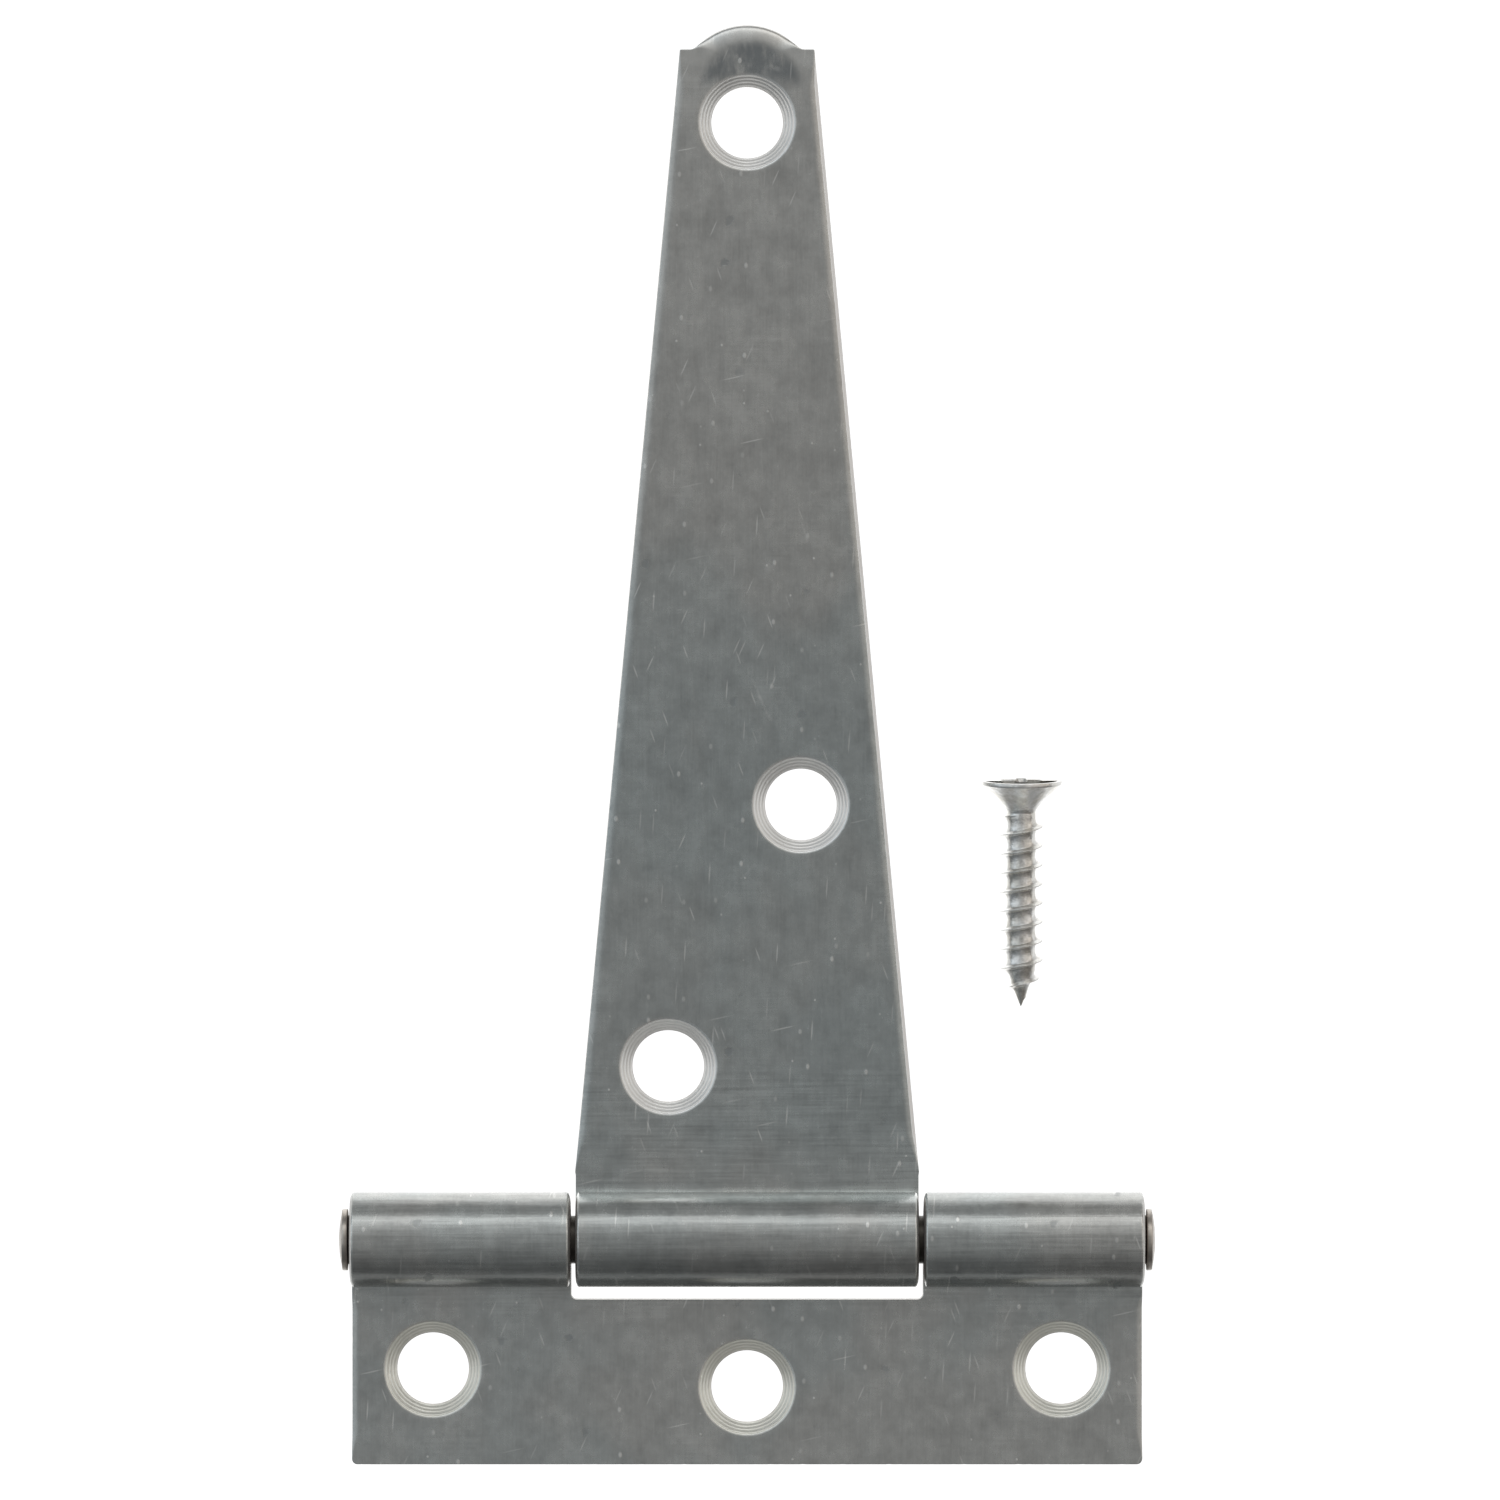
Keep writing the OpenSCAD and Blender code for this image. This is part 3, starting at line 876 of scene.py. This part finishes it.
def threadAt(z, angle, stop):
    # radius of the shank or thread, how near its crest that is, and the painted shade at its foot
    s = screw
    core = s["coreR"] * min(1.0, z / s["pointL"]) ** s["pointRound"]
    turns = (z - s["threadStart"]) / s["pitch"] - angle / (2 * math.pi)
    off = abs(turns - round(turns)) * s["pitch"]
    fade = smoothStep((z - s["threadFrom"]) / s["threadRise"]) * smoothStep((stop - z) / s["threadRunOut"])
    flank = max(0.0, 1 - off / (s["threadBase"] / 2))
    foot = s["rootHollow"] * (1 - off / (s["pitch"] / 2)) ** 2
    # painted shade in the hollow at the foot of the thread
    hollowShade = s["hollowShade"] * fade * max(0.0, 1 - abs(off - s["threadBase"] / 2) / s["hollowShadeReach"])
    return core + (s["threadR"] - s["coreR"]) * fade * max(flank, foot), flank * fade, hollowShade


def crossOutline(reach, arm, corner):
    # the cross of the recess: rounded arm ends, and chamfers where the arms meet
    bend = reach - arm * 0.35
    arms = [(arm + corner, -arm), (bend, -arm * 0.92), (reach, -arm * 0.5)]
    arms += [(x, -y) for x, y in reversed(arms)] + [(arm, arm + corner)]
    points = []
    for quarter in range(4):
        c, s = math.cos(math.pi / 2 * quarter), math.sin(math.pi / 2 * quarter)
        points += [(x * c - y * s, x * s + y * c) for x, y in arms]
    return points


def headProfile():
    # from the shank to the flat top, as radius, height and wear
    s = screw
    top, r, e = s["length"], s["headR"], s["rimRounding"]
    low, rim, n = top - s["headH"], top - s["rimH"], s["buglePoints"]
    profile = []
    for k in range(1, n + 1):
        t = k / n
        wide = s["coreR"] + (r - s["coreR"] - e) * t ** s["bugle"]
        profile.append((wide, low + (rim - low - e * 0.5) * t, 0.1 * t))
    profile += [(r - e * 0.3, rim, 0.8), (r, rim + e * 0.8, 0.7), (r, top - e, 0.5)]
    profile += [(r - e * 0.3, top - e * 0.3, 1.0), (r - e, top, 0.6), (r - e * 4, top, 0.0)]
    return profile


def crossRecess(bm, addPoint):
    # narrows downwards; returns its rim
    s = screw
    top = s["length"]
    loops = []
    for depth in s["recessSteps"]:
        lip = s["recessLip"] if depth == 0 else 0.0
        reach = s["recessR"] * (1 - s["recessTaper"] * depth) + lip
        arm = s["recessArm"] * (1 - s["armTaper"] * depth) + lip
        corner = s["recessCorner"] * (1 - s["cornerTaper"] * depth)
        z = top - s["recessDepth"] * depth
        # painted shade: the recess is painted darker with depth, fully dark past a share of it
        worn, hollowShade = 0.5 if depth == 0 else 0.0, min(1.0, depth / s["recessShadeDepth"])
        outline = crossOutline(reach, min(arm, reach * 0.6), corner)
        loops.append([addPoint(x, y, z, worn, hollowShade) for x, y in outline])
    for a, b in zip(loops, loops[1:]):
        for k in range(len(a)):
            j = (k + 1) % len(a)
            bm.faces.new((a[k], a[j], b[j], b[k])).smooth = False
    floor = addPoint(0, 0, top - s["recessDepth"] * 1.05, 0.0, 1.0)
    last = loops[-1]
    for a, b in zip(last, last[1:] + last[:1]):
        bm.faces.new((a, b, floor))
    return loops[0]


def makeScrew(finish):
    s = screw
    bm, marks = startMesh()
    frameAt = screwPlace()

    def addPoint(x, y, z, *values):
        return addVert(bm, marks, frameAt @ Vector((x, y, z)), *values)

    angles = [2 * math.pi * k / s["points"] for k in range(s["points"])]
    headZ = s["length"] - s["headH"]
    rows = round(headZ / s["pitch"] * s["rowsPerPitch"])
    rings = [[addPoint(0, 0, 0, 0.5)]]
    for i in range(1, rows + 1):
        z = headZ * i / rows
        rings.append([])
        for a in angles:
            r, crest, hollowShade = threadAt(z, a, headZ)
            rings[-1].append(addPoint(r * math.cos(a), r * math.sin(a), z, crest, hollowShade))
    for r, z, worn in headProfile():
        rings.append([addPoint(r * math.cos(a), r * math.sin(a), z, worn) for a in angles])
    joinRings(bm, rings, s["points"])
    rim = crossRecess(bm, addPoint)
    fillFlat(bm, [rings[-1], rim], frameAt.to_3x3() @ Vector((0, 0, 1)))
    return endMesh("woodScrew", bm, "screw", "wood_screw", finish)


makeStrap(zincFinish("strapZinc", strapPlate))
print("strap leaf done")
makeButt(zincFinish("buttZinc", buttPlate))
print("butt leaf done")
makePin(pinFinish())
print("pin done")
makeScrew(screwFinish())
print("screw done")

studio = {
    "aim": Vector((0.24 * mm, -0.48 * mm, 0.0)),   # from the middle of the hinge
    "viewWidth": 125.69 * mm,
    "viewHeight": 1.0,
    "sensorWidth": 36,           # millimetres, as the camera takes it
    "floorZ": -0.115,            # the strap can swing down this far behind its leaf
    "floorSize": 12.0,
    "keyAngle": math.radians(51),
    "keyDistance": 0.9,
    "keySize": (1.5, 0.30),
    "keyRadiance": 0.62,
    "sideAngle": math.radians(48),
    "sideDistance": 0.9,
    "sideSize": (0.6, 1.1),
    "leftRadiance": 0.25,
    "rightRadiance": 0.2,
    "paper": (0.25, 0.25, 0.25),
    "floorGlow": 0.26,
    # lit from under the hinge and less so further out: from y, to y and the change in glow
    "floorBands": ((-0.19, -0.06, 1.04), (0.10, 0.40, -0.65), (0.4, 0.9, -0.35)),
    "floorSides": (0.035, 0.12, 0.45),   # to either side it falls from here to there by so much
    # the room overhead, by the lean from straight up towards +y in radians
    "skyGlow": 0.10,
    "skyBands": ((-1.2, 0.15, 0.25), (0.15, 0.65, 0.40), (1.0, 1.15, -0.45)),
    "skyLeft": (0.88, 0.98, 1.06),
    "skyRight": (1.08, 1.0, 0.93),
}


def makeCamera():
    low, high = (Vector(corner) for corner in cadBox)
    middle = (low + high) / 2
    data = bpy.data.cameras.new("camera")
    data.sensor_width = studio["sensorWidth"]
    data.lens = data.sensor_width * studio["viewHeight"] / studio["viewWidth"]
    camera = bpy.data.objects.new("camera", data)
    camera.location = (middle.x + studio["aim"].x, middle.y + studio["aim"].y, studio["viewHeight"])
    bpy.context.scene.collection.objects.link(camera)
    bpy.context.scene.camera = camera
    return middle


def softbox(name, kind, middle, heading, radiance):
    # leans from straight up towards a heading that turns from +y to -x
    data = bpy.data.lights.new(name, "AREA")
    data.shape = "RECTANGLE"
    data.size, data.size_y = studio[kind + "Size"]
    data.energy = radiance * math.pi * data.size * data.size_y
    lamp = bpy.data.objects.new(name, data)
    turn = Matrix.Rotation(heading, 4, "Z") @ Matrix.Rotation(-studio[kind + "Angle"], 4, "X")
    away = Matrix.Translation((0, 0, studio[kind + "Distance"]))
    lamp.matrix_world = Matrix.Translation(middle) @ turn @ away
    lamp.visible_camera = False
    bpy.context.scene.collection.objects.link(lamp)


def glowBands(along, level, bands):
    # each band changes the level by so much between its two places
    for low, high, change in bands:
        level = along.step(low, high) * change + level
    return level


def makeFloor(middle):
    bm = bmesh.new()
    bmesh.ops.create_grid(bm, x_segments=1, y_segments=1, size=studio["floorSize"] / 2)
    mesh = bpy.data.meshes.new("floor")
    bm.to_mesh(mesh)
    bm.free()
    floor = bpy.data.objects.new("floor", mesh)
    floor.location = (middle.x, middle.y, studio["floorZ"])
    bpy.context.scene.collection.objects.link(floor)
    material = bpy.data.materials.new("palePaper")
    material.use_nodes = True
    material.node_tree.nodes.clear()
    start = Wire(material.node_tree)
    place = start.node("TexCoord", {}, {}, ["Object"])[0]
    x, y = start.node("SeparateXYZ", {}, {"Vector": place}, ["X", "Y"])
    near, far, loss = studio["floorSides"]
    lit = glowBands(y, studio["floorGlow"], studio["floorBands"]) * (1 - abs(x).step(near, far) * loss)
    seen = start.node("LightPath", {}, {}, ["Is Camera Ray"])[0]
    inputs = {"Base Color": studio["paper"], "Roughness": 0.9, "Emission Strength": 1.0}
    inputs["Emission Color"] = seen.mix(lit, (1.0, 1.0, 1.0))
    paper = start.node("BsdfPrincipled", {}, inputs)
    clear = start.node("BsdfTransparent", {}, {})   # from below, so that it hides nothing
    below = start.node("NewGeometry", {}, {}, ["Backfacing"])[0]
    surface = start.node("MixShader", {}, {0: below, 1: paper, 2: clear})
    start.node("OutputMaterial", {}, {"Surface": surface}, [])
    mesh.materials.append(material)


def makeWorld():
    world = bpy.data.worlds.new("studio")
    bpy.context.scene.world = world
    world.use_nodes = True
    world.node_tree.nodes.clear()
    start = Wire(world.node_tree)
    way = start.node("TexCoord", {}, {}, ["Generated"])[0]
    x, y, z = start.node("SeparateXYZ", {}, {"Vector": way}, ["X", "Y", "Z"])
    lean = y.math("ARCTAN2", y, z)   # from straight up towards +y
    level = glowBands(lean, studio["skyGlow"], studio["skyBands"])
    sky = x.step(-0.8, 0.8).mix(studio["skyLeft"], studio["skyRight"]).tone(level)
    seen = start.node("LightPath", {}, {}, ["Is Camera Ray"])[0]
    glow = start.node("Background", {}, {"Color": seen.mix(sky, (1.0, 1.0, 1.0)), "Strength": 1.0})
    start.node("OutputWorld", {}, {"Surface": glow}, [])


hingeMiddle = makeCamera()
softbox("keyBox", "key", hingeMiddle, 0.0, studio["keyRadiance"])
softbox("leftBox", "side", hingeMiddle, math.pi / 2, studio["leftRadiance"])
softbox("rightBox", "side", hingeMiddle, -math.pi / 2, studio["rightRadiance"])
makeFloor(hingeMiddle)
makeWorld()
bpy.context.scene.view_settings.view_transform = "Standard"
print("studio done")
